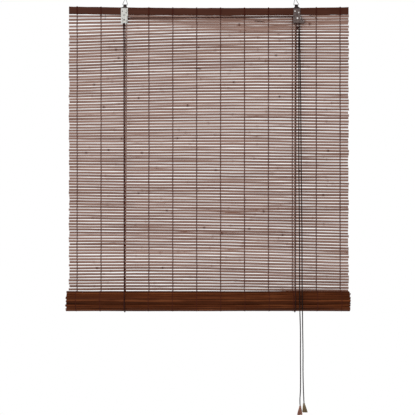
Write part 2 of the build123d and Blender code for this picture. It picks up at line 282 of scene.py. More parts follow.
def objectAxis(tree, axis):
    where = tree.nodes.new("ShaderNodeTexCoord")
    parts = tree.nodes.new("ShaderNodeSeparateXYZ")
    tree.links.new(where.outputs["Object"], parts.inputs[0])
    return parts.outputs[axis]


bambooLook = {
    # dark, middle and light
    "mat": ((0.148, 0.076, 0.058), (0.262, 0.158, 0.126), (0.400, 0.272, 0.230)),
    "roll": ((0.022, 0.0055, 0.0018), (0.078, 0.0190, 0.0056), (0.260, 0.080, 0.0260)),
    "rail": ((0.036, 0.011, 0.0060), (0.064, 0.021, 0.0125), (0.105, 0.040, 0.0250)),
    "knuckle": (0.075, 0.026, 0.015),
    "cut": (0.30, 0.16, 0.10),
    "gloss": 0.04,
    "stops": (0.18, 0.5, 0.86),
    "streaks": (7, 260, 260),     # long along the grain, which runs along X
    "blotches": (9, 30, 30),
    "blotchDepth": 0.06,
}


def bambooMaterial(name, colours, toneShare):
    material, tree, shader = newMaterial(name)
    shader.inputs["Specular IOR Level"].default_value = bambooLook["gloss"]
    streaks = objectNoise(tree, 1.0, 6.0, 0.62, bambooLook["streaks"])
    blotches = objectNoise(tree, 1.0, 3.0, scale=bambooLook["blotches"])
    depth = bambooLook["blotchDepth"]
    amount = mathNode(tree, "ADD", weighed(tree, attributeValue(tree, "tone"), toneShare, streaks),
                      mapRange(tree, blotches, 0.3, 0.7, -depth, depth))
    colour = ramp(tree, amount, *zip(bambooLook["stops"], colours))
    colour = mixColour(tree, "MIX", attributeValue(tree, "knuckle"), colour, bambooLook["knuckle"])
    tree.links.new(colour, shader.inputs["Base Color"])
    tree.links.new(mapRange(tree, streaks, 0.3, 0.7, 0.34, 0.58), shader.inputs["Roughness"])
    bump(tree, shader, streaks, 0.35, 0.0006)
    return material


def cutBambooMaterial():
    material, tree, shader = newMaterial("cutBamboo", 0.75)
    pores = objectNoise(tree, 1400.0, 3.0)
    dark = tuple(part * 0.45 for part in bambooLook["cut"])
    tree.links.new(ramp(tree, pores, (0.35, dark), (0.6, bambooLook["cut"])), shader.inputs["Base Color"])
    bump(tree, shader, pores, 0.4, 0.0003)
    return material


threadGloss = 0.12


def threadMaterial(name, dark, light):
    material, tree, shader = newMaterial(name, 0.85)
    fibres = objectNoise(tree, 2600.0, 3.0)
    patches = objectNoise(tree, 60.0, 2.0)
    amount = weighed(tree, fibres, 0.6, patches)
    tree.links.new(ramp(tree, amount, (0.3, dark), (0.7, light)), shader.inputs["Base Color"])
    shader.inputs["Specular IOR Level"].default_value = threadGloss
    bump(tree, shader, fibres, 0.5, 0.0003)
    return material


metalLook = {    # colour, tarnish and roughness
    "zincPlate": ((0.46, 0.455, 0.428), (0.085, 0.085, 0.080), 0.50),
    "lockSteel": ((0.135, 0.104, 0.096), (0.036, 0.028, 0.026), 0.45),
    "zincWire": ((0.24, 0.235, 0.23), (0.12, 0.115, 0.11), 0.34),
    "nailSteel": ((0.72, 0.70, 0.68), (0.40, 0.38, 0.36), 0.40),
    "pulleySteel": ((0.60, 0.59, 0.58), (0.30, 0.29, 0.28), 0.35),
}
# painted shade: the dark colour of a bracket's neck, which bends back out of the light
neckShadeColour = (0.035, 0.028, 0.027)
leftNails = (0.13, 0.125, 0.12)


def metalMaterial(name, neckShadeZ=None, leftColour=None):
    # a bracket's neck takes painted shade between two heights, where it bends back out of the light, and the
    # nails left of the middle are darker
    base, tarnish, roughness = metalLook[name]
    material, tree, shader = newMaterial(name, roughness, 1.0)
    cloudy = objectNoise(tree, 170.0, 5.0)
    brushed = objectNoise(tree, 1.0, 3.0, scale=(900, 900, 40))
    bright = tuple(part * 1.1 for part in base)
    colour = ramp(tree, weighed(tree, cloudy, 0.6, brushed), (0.36, tarnish), (0.5, base), (0.8, bright))
    # painted shade on the bent-back neck, from the lower height up
    if neckShadeZ:
        height = mapRange(tree, objectAxis(tree, "Z"), *neckShadeZ, 0.0, 1.0)
        colour = mixColour(tree, "MIX", height, colour, neckShadeColour)
    if leftColour:
        leftShare = mapRange(tree, objectAxis(tree, "X"), -0.01, 0.01, 1.0, 0.0)
        colour = mixColour(tree, "MIX", leftShare, colour, leftColour)
    tree.links.new(colour, shader.inputs["Base Color"])
    patchy = mapRange(tree, cloudy, 0.3, 0.7, roughness - 0.08, roughness + 0.14)
    tree.links.new(patchy, shader.inputs["Roughness"])
    bump(tree, shader, brushed, 0.12, 0.0002)
    return material


stainedBamboo = bambooMaterial("stainedBamboo", bambooLook["mat"], 0.50)
rolledBamboo = bambooMaterial("rolledBamboo", bambooLook["roll"], 0.45)
railBamboo = bambooMaterial("railBamboo", bambooLook["rail"], 0.40)
cutBamboo = cutBambooMaterial()
warpCotton = threadMaterial("warpCotton", (0.030, 0.006, 0.003), (0.085, 0.016, 0.008))
liftBraid = threadMaterial("liftBraid", (0.014, 0.004, 0.003), (0.048, 0.013, 0.009))
pullBraid = threadMaterial("pullBraid", (0.008, 0.004, 0.003), (0.026, 0.012, 0.009))
tasselRed = threadMaterial("tasselRed", (0.190, 0.082, 0.056), (0.480, 0.250, 0.180))
tasselOlive = threadMaterial("tasselOlive", (0.125, 0.085, 0.045), (0.370, 0.275, 0.160))
zincPlate = metalMaterial("zincPlate", neckShadeZ=(-0.0305, -0.0290))
lockSteel = metalMaterial("lockSteel", neckShadeZ=(-0.0325, -0.0300))
zincWire = metalMaterial("zincWire")
nailSteel = metalMaterial("nailSteel", leftColour=leftNails)
pulleySteel = metalMaterial("pulleySteel")
print("materials made")


# Cords: three strands twisted round a route's line
def routePoints(points, step):
    curve = bpy.data.curves.new("route", "CURVE")
    curve.dimensions = "3D"
    spline = curve.splines.new("NURBS")
    spline.points.add(len(points) - 1)
    for place, point in zip(spline.points, points):
        place.co = (*point, 1)
    spline.order_u = 3
    spline.use_endpoint_u = True
    spline.resolution_u = 16
    holder = bpy.data.objects.new("route", curve)
    bpy.context.collection.objects.link(holder)
    graph = bpy.context.evaluated_depsgraph_get()
    line = bpy.data.meshes.new_from_object(holder.evaluated_get(graph), depsgraph=graph)
    places = np.array([vertex.co for vertex in line.vertices], float)
    bpy.data.objects.remove(holder)
    bpy.data.curves.remove(curve)
    bpy.data.meshes.remove(line)
    return evenly(places, step)


def distanceAlong(places):
    gaps = np.linalg.norm(np.diff(places, axis=0), axis=1)
    return np.concatenate([[0], np.cumsum(gaps)])


def evenly(places, step):
    along = distanceAlong(places)
    count = max(3, int(round(along[-1] / step)) + 1)
    wanted = np.linspace(0, along[-1], count)
    return np.stack([np.interp(wanted, along, places[:, axis]) for axis in range(3)], axis=1)


def carriedFrames(centre, closed=False):
    # two directions across the line at each place, carried along it so that they never jump
    if closed:
        tangents = np.roll(centre, -1, 0) - np.roll(centre, 1, 0)
    else:
        tangents = np.gradient(centre, axis=0)
    tangents /= np.linalg.norm(tangents, axis=1)[:, None]
    current = np.array([1.0, 0, 0]) if abs(tangents[0][0]) < 0.8 else np.array([0, 1.0, 0])
    sideways = []
    for tangent in tangents:
        current = current - tangent * current.dot(tangent)
        current /= np.linalg.norm(current)
        sideways.append(current)
    sideways = np.array(sideways)
    return sideways, np.cross(tangents, sideways)


def tubeParts(centre, radius, sides, closed=False):
    sideways, upward = carriedFrames(centre, closed)
    radius = np.broadcast_to(np.asarray(radius, float), (len(centre),))[:, None]
    turn = np.arange(sides) * 2 * pi / sides
    rings = [centre + radius * (cos(a) * sideways + sin(a) * upward) for a in turn]
    places = np.stack(rings, axis=1).reshape(-1, 3)
    faces = []
    steps = len(centre) if closed else len(centre) - 1
    for step in range(steps):
        here, there = step * sides, ((step + 1) % len(centre)) * sides
        for k in range(sides):
            after = (k + 1) % sides
            faces.append((here + k, here + after, there + after, there + k))
    if not closed:
        last = (len(centre) - 1) * sides
        faces.append(tuple(reversed(range(sides))))
        faces.append(tuple(last + k for k in range(sides)))
    return places, faces


def meshPiece(name, parts, material):
    places, faces, first = [], [], 0
    for partPlaces, partFaces in parts:
        places.append(partPlaces)
        faces += [tuple(first + corner for corner in face) for face in partFaces]
        first += len(partPlaces)
    mesh = bpy.data.meshes.new(name)
    mesh.from_pydata([tuple(place) for place in np.concatenate(places)], [], faces)
    mesh.update()
    piece = bpy.data.objects.new(name, mesh)
    bpy.context.collection.objects.link(piece)
    for polygon in mesh.polygons:
        polygon.use_smooth = True
    setMaterial(piece, material)
    return piece


cordLook = {
    "diameter": 3.8 * mm,
    "liftDiameter": 3.5 * mm,
    "strands": 3,
    "strandShare": 0.285,    # a strand's radius against the cord's diameter
    "lay": 5.2 * mm,         # the length of one twist
    "step": 0.8 * mm,
    "sides": 5,
}


def twistedCord(name, centre, material, diameter=None):
    diameter = diameter or cordLook["diameter"]
    sideways, upward = carriedFrames(centre)
    along = distanceAlong(centre)
    thick = diameter * cordLook["strandShare"]
    offset = diameter / 2 - thick
    parts = []
    for strand in range(cordLook["strands"]):
        angle = 2 * pi * strand / cordLook["strands"] + 2 * pi * along / cordLook["lay"]
        line = centre + offset * (np.cos(angle)[:, None] * sideways + np.sin(angle)[:, None] * upward)
        parts.append(tubeParts(line, thick, cordLook["sides"]))
    return meshPiece(name, parts, material)


def metres(points):
    return [tuple(part * mm for part in point) for point in points]


# The pull cords, in mm: from the lock over the front of the roll, then hanging free
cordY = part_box("cord_sling_left")[0][1] / mm + 1.0
rearY = middleOf("pulley_right_rear", 1) / mm
frontY = middleOf("pulley_right_front", 1) / mm
lockX, lockZ = 290.4, -84.0    # where the cords leave the lock
joint = 0.15                   # half the gap between two lengths
rollMid = rollZ / mm
pullRoutes = {
    "left": {
        "upper": [
            (lockX, rearY, lockZ - joint), (288.3, -9.5, -140), (289.2, -18, -280),
            (287.1, -33, -500), (288.6, -47, -730), (288.1, -60.2, -925),
            (288.5, cordY, rollMid + joint),
        ],
        "lower": [
            (288.5, cordY, rollMid - joint), (289.2, cordY - 0.4, -1012), (291.1, cordY - 0.2, -1070),
            (290.6, cordY + 0.6, -1140), (291.3, cordY + 0.3, -1205), (290.9, cordY + 0.8, -1258),
            (288.6, cordY + 0.4, -1284), (289.9, cordY + 0.2, -1301),
        ],
    },
    "right": {
        "upper": [
            (lockX, frontY, lockZ - joint), (291.6, -14.5, -140), (294.2, -23.5, -290),
            (294.5, -37, -510), (296.5, -49.5, -740), (296.1, -60.8, -930),
            (296.4, cordY, rollMid + joint),
        ],
        "lower": [
            (296.4, cordY, rollMid - joint), (297.4, cordY - 0.4, -1010), (297.9, cordY + 0.2, -1065),
            (299.1, cordY - 0.3, -1130), (298.8, cordY + 0.5, -1190), (299.8, cordY, -1242),
            (301.2, cordY + 0.4, -1274), (302.0, cordY + 0.2, -1292.5),
        ],
    },
}


def addPullCord(side, half):
    name = f"pullCord{side.title()}{half.title()}"
    line = routePoints(metres(pullRoutes[side][half]), cordLook["step"])
    cord = twistedCord(name, line, pullBraid)
    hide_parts(f"pull_cord_{side}_{half}")
    return cord, line


pullPieces = {}
for side in ("left", "right"):
    for half in ("upper", "lower"):
        pullPieces[side, half] = addPullCord(side, half)
print("pull cords laid")

# The lift cords, in mm: down the back of the mat, round the roll and up its front to the pulleys
anchorX = {"left": -264.5, "right": 279.0}
slingX = {"left": -268.6, "right": 275.0}
pulleyTop = {"left": (-278.0, rearY, -70.3), "right": (278.8, frontY, -66.0)}
frontGuide = {"left": (-274.6, -273.2), "right": (280.8, 280.4)}    # the bracket's foot leads it here
anchorY, anchorZ, anchorDrop, guideDrop = 8.12, -44.6, 33.4, 62
backY, slackZ, turnZ = 6.17, -946.0, -58.2
slingSteps = 70
liftPieces = {}
for side in ("left", "right"):
    x, top = slingX[side], pulleyTop[side]
    guide = frontGuide[side]
    front = [(x, cordY, rollMid + 2 * joint), (x, cordY, slackZ), (guide[1], top[1], top[2] - guideDrop),
             (guide[0], top[1], lockZ), top]
    back = [(anchorX[side], anchorY, anchorZ), (anchorX[side], anchorY, anchorZ - anchorDrop),
            (x, backY, slackZ), (x, backY, rollMid + 2 * joint)]
    for half, points in (("front", front), ("back", back)):
        straight = evenly(np.array(metres(points)), cordLook["step"])
        cord = twistedCord(f"liftCord{side.title()}{half.title()}", straight, liftBraid,
                           cordLook["liftDiameter"])
        takePlace(cord, "head", f"lift_cord_{side}_{half}")
        liftPieces[side, half] = cord
    sweep = np.linspace(0, pi, slingSteps)
    middle = (cordY + backY) / 2
    reach = (backY - cordY) / 2
    arc = [np.full(slingSteps, x), middle - reach * np.cos(sweep), rollMid - reach * np.sin(sweep)]
    arc = np.stack(arc, axis=1) * mm
    sling = twistedCord(f"cordSling{side.title()}", evenly(arc, cordLook["step"]), liftBraid)
    takePlace(sling, "slings", f"cord_sling_{side}")


def unit(vector):
    return vector / np.linalg.norm(vector)


def roundedRun(points, radius):
    # a run of cord over pulleys, with each corner an arc of the pulley's radius
    line = [np.array(points[0])]
    for before, corner, after in zip(points, points[1:], points[2:]):
        before, corner, after = (np.array(place) for place in (before, corner, after))
        inward, outward = unit(before - corner), unit(after - corner)
        half = np.arccos(np.clip(inward.dot(outward), -1, 1)) / 2
        room = 0.48 * min(np.linalg.norm(before - corner), np.linalg.norm(after - corner))
        back = min(radius / np.tan(half), room)
        start, end = corner + inward * back, corner + outward * back
        for t in np.linspace(0, 1, 12):
            line.append((1 - t) ** 2 * start + 2 * t * (1 - t) * corner + t * t * end)
    line.append(np.array(points[-1]))
    return evenly(np.array(line), cordLook["step"])


leftTop, rightTop = pulleyTop["left"], pulleyTop["right"]
grooveRadius = 5.8 * mm
crossPoints = [leftTop, (leftTop[0], leftTop[1], -62.5), (lockX, rearY, turnZ), (lockX, rearY, lockZ)]
lockPoints = [rightTop, (rightTop[0], frontY, turnZ), (lockX, frontY, turnZ), (lockX, frontY, lockZ)]
for name, node, points in (("crossCord", "cross_cord", crossPoints), ("lockCord", "lock_cord", lockPoints)):
    cord = twistedCord(name, roundedRun(metres(points), grooveRadius), liftBraid)
    takePlace(cord, "head", node)
print("lift cords laid")

# Slats: one split bamboo strip is shaped, then copied, each copy with its own wander and knuckles
slatWide = 6.8 * mm
firstSlatZ = slatHigh[2] - slatWide / 2
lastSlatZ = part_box("mat_slats_08")[0][2] + slatWide / 2
matY = middleOf("mat_slats_01", 1)
slatEdge = (slatLow[0], slatHigh[0])
warpX = [middleOf(f"warp_thread_{number:02d}", 0) for number in range(1, 13)]
slatLook = {
    "count": 96,
    "bands": 8,
    "blankLength": 0.9,
    "sections": 35,
    "bevel": 0.7 * mm,
    "backBevel": 0.4,            # against the front's
    "width": slatWide + 0.70 * mm,
    "thick": 1.6 * mm,
    "heldWander": 0.20 * mm,     # at the threads, which hold a strip in its place
    "looseWander": 0.32 * mm,    # halfway between two threads
    "crossWander": 0.22 * mm,    # towards the room or the window
    "crossHeld": 0.3,            # its share at a thread
    "slowWander": 0.25 * mm,     # the same over the whole length
    "endWander": 1.5 * mm,
    "wanderPlaces": 22,
    "widthSpread": 0.06,
    "twist": 0.09,
    "slope": 0.0005,
    "creep": 0.22 * mm,          # how the rows' spacing drifts down the mat
    "mostCreep": 1.5 * mm,
    "knuckleRise": 0.42 * mm,
    "knuckleSwell": 0.10,
    "knuckleLength": 2.4 * mm,
    "knuckleInset": 0.05,        # from the ends
    "knuckleApart": 0.12,
    "knuckleSpread": (-7, -2.2, 0, 2.2, 7),    # sections round one, in mm
    "knuckleMarks": (0.12, 0.12, 0.25, 0.25, 1.0),    # how dark: one is drawn for each strip
    "tone": 0.5,
    "toneSpread": 0.13,          # from strip to strip
    "toneWander": 0.07,          # along a strip
    "paintedUnderShade": 0.30,          # painted shade: the lower edge is darker, as if shadowed from the light above
    "endFrom": 5 * mm,           # cut ends are looked for this far out
    "railGap": 0.4 * mm,
    "closest": 0.7 * mm,         # the gap where strips are pushed up under the rail
}


def slatBlank(name, width, thick, sections, bevel, material):
    # the room side is rounder than the back
    blank = addCube(name, (0, 0, 0), (slatLook["blankLength"], thick, width))
    backBevel = bevel * slatLook["backBevel"]
    bevelEdges(blank, lambda a, b: lengthwise(a, b) and a.y < 0 and b.y < 0, bevel, 2)
    bevelEdges(blank, lambda a, b: lengthwise(a, b) and a.y > 0 and b.y > 0, backBevel, 1)
    cutAcross(blank, sections - 2)
    for polygon in blank.data.polygons:
        polygon.use_smooth = abs(polygon.normal.x) < 0.5
    bpy.ops.object.shade_smooth_by_angle(angle=0.9)
    setMaterial(blank, material, cutBamboo)
    return blank, *blankShape(blank, sections)


def blankShape(blank, count):
    # each vertex's place and its section along the blank
    places = np.empty(len(blank.data.vertices) * 3)
    blank.data.vertices.foreach_get("co", places)
    places = places.reshape(-1, 3)
    low, high = places[:, 0].min(), places[:, 0].max()
    loop = np.round((places[:, 0] - low) / (high - low) * (count - 1)).astype(int)
    return places, loop


def slatStations():
    # the sections along a strip: its ends, the threads, halfway between them, and two knuckles
    low = slatEdge[0] + rng.uniform(-1, 1) * slatLook["endWander"]
    high = slatEdge[1] + rng.uniform(-1, 1) * slatLook["endWander"]
    middles = [(a + b) / 2 for a, b in zip(warpX, warpX[1:])]
    inset = slatLook["knuckleInset"]
    knuckles = rng.uniform(low + inset, high - inset, 2)
    while abs(knuckles[0] - knuckles[1]) < slatLook["knuckleApart"]:
        knuckles = rng.uniform(low + inset, high - inset, 2)
    spread = np.array(slatLook["knuckleSpread"]) * mm
    fixed = [low, high, *warpX, *middles]
    stations = sorted(fixed + [knuckle + part for knuckle in knuckles for part in spread])
    return np.array(stations), knuckles, low, high


def wandered(x, places, size):
    # a random line through the places, read at x
    return np.interp(x, places, rng.normal(0, size, len(places)))


def looseAt(x):
    # 0 at a thread, 1 halfway between two
    nearest = np.min(np.abs(x[:, None] - np.array(warpX)[None, :]), axis=1)
    return np.clip(nearest / ((warpX[1] - warpX[0]) / 2), 0, 1.4)


# How far the strips stand above or below their even places, in mm, at five places across and ten down:
# the mat has settled on its threads, more at the bottom right
settleX = (-0.428, -0.238, -0.028, 0.178, 0.436)
settleZ = (-0.058, -0.113, -0.213, -0.325, -0.438, -0.551, -0.664, -0.776, -0.873, -0.948)
settleRise = np.array([
    (3.0, 3.5, 5.5, 6.0, 5.5), (-6.2, 0.9, 6.1, 8.7, 8.0),
    (-6.3, 0.4, 5.6, 7.8, 7.5), (-3.7, 0.5, 4.1, 4.7, 2.1),
    (-1.0, 0.3, 1.6, 1.6, -2.9), (2.3, 0.3, 1.3, -1.0, -2.6),
    (4.5, 1.9, 0.3, -2.3, -5.2), (5.2, 4.5, 2.6, -1.9, -8.5),
    (2.6, 4.5, 2.9, -1.0, -7.5), (0.0, 0.8, 0.5, -0.5, -2.5),
]) * mm
settleAcross = np.linspace(settleX[0], settleX[-1], 33)
halfRail = (slatHigh[0] - slatLow[0]) / 2
railBow = {"lowX": 0.150, "left": 4.5 * mm, "right": 2.5 * mm}
bowRows = [(place * place, place, 1) for place in (-halfRail, railBow["lowX"], halfRail)]
bowCurve = np.linalg.solve(np.array(bowRows), np.array([railBow["left"], 0, railBow["right"]]))


def railLift(x):
    # the rail is one long arc, lowest a little right of its middle
    return bowCurve[0] * x * x + bowCurve[1] * x + bowCurve[2]


def smoothLine(values):
    # the five values across, joined by a smooth line
    fine = np.interp(settleAcross, settleX, values)
    for _ in range(12):
        fine[1:-1] = (fine[:-2] + 2 * fine[1:-1] + fine[2:]) / 4
    return fine


def settledZ(index, evenZ, x):
    # a strip's middle along its length, and never up into the rail or the strips above it
    x = np.atleast_1d(x)
    down = np.array([np.interp(-evenZ, -np.array(settleZ), column) for column in settleRise.T])
    smooth = np.interp(x, settleAcross, smoothLine(down))
    railUnder = railLow[2] + railLift(x) - slatLook["railGap"]
    packed = railUnder - (index + 0.5) * (slatLook["width"] + slatLook["closest"])
    return np.minimum(evenZ + smooth, packed)


def shapeSlat(places, loop, index, centreZ, tilt):
    # one strip's places, tones with painted shade on the lower edge, and knuckle marks
    x, knuckles, low, high = slatStations()
    loose = looseAt(x)
    heldShift = wandered(x, warpX, slatLook["heldWander"])
    knots = np.linspace(low, high, slatLook["wanderPlaces"])
    wanderZ = wandered(x, knots, slatLook["looseWander"]) * loose
    wanderY = wandered(x, knots, slatLook["crossWander"]) * (slatLook["crossHeld"] + loose)
    slow = rng.normal(0, 1, 3)
    span = (x - low) / (high - low)
    wanderY += slatLook["slowWander"] * (slow[0] * np.sin(pi * span) + slow[1] * np.sin(2 * pi * span))
    twist = slatLook["twist"] * wandered(x, knots, 1)
    wide = 1 + slatLook["widthSpread"] * wandered(x, knots[::3], 1)
    rise = np.zeros_like(x)
    for knuckle in knuckles:
        rise += np.exp(-((x - knuckle) / slatLook["knuckleLength"]) ** 2)
    local = places.copy()
    z = local[:, 2] * wide[loop] * (1 + slatLook["knuckleSwell"] * rise[loop])
    y = local[:, 1] - rise[loop] * slatLook["knuckleRise"] * (local[:, 1] < 0)
    angle = twist[loop]
    turnedY = y * np.cos(angle) - z * np.sin(angle)
    turnedZ = y * np.sin(angle) + z * np.cos(angle)
    local[:, 0] = x[loop]
    local[:, 1] = matY + turnedY + wanderY[loop]
    middle = settledZ(index, centreZ, x) + heldShift + wanderZ + tilt * x
    local[:, 2] = middle[loop] + turnedZ
    tone = rng.normal(slatLook["tone"], slatLook["toneSpread"])
    tone = tone + slatLook["toneWander"] * wandered(x, knots[::2], 1)
    # painted shade darkens the strip's lower edge
    tone = tone[loop] - slatLook["paintedUnderShade"] * (places[:, 2] < -0.3 * slatLook["width"])
    mark = rng.choice(slatLook["knuckleMarks"])
    return local, np.clip(tone, 0.05, 0.95), np.clip(rise[loop] * mark, 0, 1)


def copiedSlat(blank, name, local, tone, knuckle):
    slat = blank.copy()
    slat.data = blank.data.copy()
    slat.name = name
    bpy.context.collection.objects.link(slat)
    slat.data.vertices.foreach_set("co", local.reshape(-1))
    addFloats(slat.data, "tone", tone)
    addFloats(slat.data, "knuckle", knuckle)
    slat.data.update()
    return slat


def endFaces(piece, ends, inset):
    # the cut ends take the second material
    low, high = ends[0] + inset, ends[1] - inset
    for polygon in piece.data.polygons:
        if abs(polygon.normal.x) > 0.7 and (polygon.center.x < low or polygon.center.x > high):
            polygon.material_index = 1


matBlank, blankPlaces, blankLoop = slatBlank(
    "slatBlank", slatLook["width"], slatLook["thick"], slatLook["sections"], slatLook["bevel"],
    stainedBamboo)
count = slatLook["count"]
slatZ = firstSlatZ - (firstSlatZ - lastSlatZ) / (count - 1) * np.arange(count)
creep = np.cumsum(rng.normal(0, slatLook["creep"], count))
creep -= np.linspace(creep[0], creep[-1], count)
slatZ = slatZ + np.clip(creep, -slatLook["mostCreep"], slatLook["mostCreep"])
perBand = count // slatLook["bands"]
matPieces = []
for band in range(slatLook["bands"]):
    strips = []
    for index in range(band * perBand, (band + 1) * perBand):
        shape = shapeSlat(blankPlaces, blankLoop, index, slatZ[index], rng.normal(0, slatLook["slope"]))
        strips.append(copiedSlat(matBlank, f"strip{index:02d}", *shape))
    piece = joined(strips, f"matSlats{band + 1}")
    endFaces(piece, slatEdge, slatLook["endFrom"])
    takePlace(piece, "head", f"mat_slats_{band + 1:02d}")
    matPieces.append(piece)
print("mat made")

# The strip that leaves the mat for the roll
stripAtRollZ = -957.0 * mm
shape = shapeSlat(blankPlaces, blankLoop, slatLook["count"], stripAtRollZ, 0.0)
lastStrip = copiedSlat(matBlank, "stripAtRoll", *shape)
settle(lastStrip)
endFaces(lastStrip, slatEdge, slatLook["endFrom"])
takePlace(lastStrip, "slings")

# Warp threads: two strands cross between every two slats, and loop over the rail
warpLook = {
    "thread": 1.80 * mm,
    "side": 1.05 * mm,      # how far the strands stand apart as they cross
    "clear": 0.12 * mm,     # between a strand and the slat
    "sway": 0.35 * mm,
    "perSlat": 4,
    "topReach": 0.7,        # of one row, above the first slat
    "sides": 5,
    "loopGap": 0.05 * mm,
    "loopApart": 0.85 * mm,
    "loopTurn": 1.0 * mm,
    "underRail": (2, 9),    # these two have no loop over the rail
}


def warpStrand(x, phase):
    count = slatLook["count"]
    steps = np.arange(-2, (count - 1) * warpLook["perSlat"] + 3) / warpLook["perSlat"]
    held = [float(settledZ(index, slatZ[index], x)[0]) for index in range(count)]
    above = held[0] - (held[1] - held[0]) * warpLook["topReach"]
    below = 2 * held[-1] - held[-2]
    z = np.interp(steps, np.arange(-1, count + 1), [above, *held, below])
    deep = slatLook["thick"] / 2 + warpLook["thread"] / 2 + warpLook["clear"]
    y = matY - deep * np.cos(pi * steps + phase)
    swayAt = np.arange(0, count + 3, 3)
    sway = warpLook["sway"] * wandered(steps, swayAt, 1)
    across = x + warpLook["side"] * np.sin(pi * steps + phase) + sway
    return np.stack([across, y, z], axis=1)


def railLoop(x):
    # one turn of thread round the rail's section, closed under it
    half = warpLook["thread"] / 2 + warpLook["loopGap"]
    top = railLow[2] + railHeight + railLift(x) + half
    bottom = railLow[2] + railLift(x) - half
    front, back, turn = railLow[1] - half, railHigh[1] + half, warpLook["loopTurn"]
    corners = [(front, bottom, 1, 1, 1.5), (front, top, 1, -1, 1.0),
               (back, top, -1, -1, 0.5), (back, bottom, -1, 1, 0.0)]
    line = []
    for y, z, inY, inZ, start in corners:
        for part in (0.0, 0.25, 0.5):
            angle = pi * (start - part)
            line.append((x, y + inY * turn + turn * cos(angle), z + inZ * turn + turn * sin(angle)))
    return np.array(line)


warpPieces = []
for number, x in enumerate(warpX):
    half, sides = warpLook["thread"] / 2, warpLook["sides"]
    parts = [tubeParts(warpStrand(x, phase), half, sides) for phase in (0, pi)]
    if number not in warpLook["underRail"]:
        for shift in (-warpLook["loopApart"], warpLook["loopApart"]):
            parts.append(tubeParts(railLoop(x + shift), half, sides, closed=True))
    piece = meshPiece(f"warpThread{number + 1}", parts, warpCotton)
    takePlace(piece, "head", f"warp_thread_{number + 1:02d}")
    warpPieces.append(piece)
print("warp threads made")

# The roll: an outer turn of slats on a circle, and a flatter spiral inside it round the bottom rail
rollLook = {
    "outerCount": 24,
    "outerWidth": 6.9 * mm,
    "outerSections": 25,
    "outerWander": 0.28 * mm,
    "turnWander": 0.008,
    "innerWidth": 5.6 * mm, "innerThick": 1.5 * mm, "innerBevel": 0.6 * mm, "innerSections": 3,
    "innerWander": 0.1 * mm,
    "sidewaysWander": 1.3,     # against the wander towards the middle
    "innerShort": 0.4 * mm,
    "innerClear": 3.4 * mm,    # from the outer turn
    "outerRadius": rollRadius - 1.85 * mm,
    "turns": 4.7,
    "startHalf": (5.85 * mm, 13.85 * mm),   # the spiral's first half sizes in Y and Z
    "growth": (5.4 * mm, 3.7 * mm),
    "pitch": 9.33 * mm * 0.74,    # the inner turns are packed closer than the mat
    "endWander": 4.5 * mm,
    "tone": 0.5, "toneSpread": 0.17, "toneWander": 0.12,
    "thread": 0.85 * mm,       # its radius
    "threadClear": 0.48 * mm,
    "endFrom": 12 * mm,
}


def rolledSlat(places, loop, count, y, z, turn, shortBy, wander):
    low = rollLow[0] + shortBy + rng.uniform(0.1, 1) * rollLook["endWander"]
    high = rollHigh[0] - shortBy - rng.uniform(0.1, 1) * rollLook["endWander"]
    x = np.linspace(low, high, count)
    radial = wandered(x, np.linspace(low, high, 9), wander)
    sideways = wandered(x, np.linspace(low, high, 9), wander * rollLook["sidewaysWander"])
    local = places.copy()
    out = -local[:, 1] + radial[loop]
    along = local[:, 2] + sideways[loop]
    local[:, 0] = x[loop]
    local[:, 1] = y + out * cos(turn) - along * sin(turn)
    local[:, 2] = z + out * sin(turn) + along * cos(turn)
    tone = rng.normal(rollLook["tone"], rollLook["toneSpread"])
    tone = np.clip(tone + rollLook["toneWander"] * wandered(x, np.linspace(low, high, 7), 1), 0, 1)
    return local, tone[loop], np.zeros(len(local))


outerBlank, outerPlaces, outerLoop = slatBlank(
    "outerBlank", rollLook["outerWidth"], slatLook["thick"], rollLook["outerSections"], slatLook["bevel"],
    rolledBamboo)
innerBlank, innerPlaces, innerLoop = slatBlank(
    "innerBlank", rollLook["innerWidth"], rollLook["innerThick"], rollLook["innerSections"],
    rollLook["innerBevel"], rolledBamboo)
rollStrips = []
for index in range(rollLook["outerCount"]):
    turn = 2 * pi * (index + 0.5) / rollLook["outerCount"] + rng.normal(0, rollLook["turnWander"])
    radius = rollLook["outerRadius"]
    shape = rolledSlat(outerPlaces, outerLoop, rollLook["outerSections"], rollY + radius * cos(turn),
                       rollZ + radius * sin(turn), turn, 0.0, rollLook["outerWander"])
    rollStrips.append(copiedSlat(outerBlank, f"rolled{index:02d}", *shape))
sweep = np.linspace(0, rollLook["turns"], 2000)
halves = np.array(rollLook["startHalf"]) + np.array(rollLook["growth"]) * sweep[:, None]
spiral = halves * np.stack([np.cos(2 * pi * sweep), np.sin(2 * pi * sweep)], axis=1)
spiral = spiral[np.hypot(spiral[:, 0], spiral[:, 1]) < rollLook["outerRadius"] - rollLook["innerClear"]]
along = distanceAlong(spiral)


def spiralAt(place):
    return np.array([np.interp(place, along, spiral[:, axis]) for axis in (0, 1)])


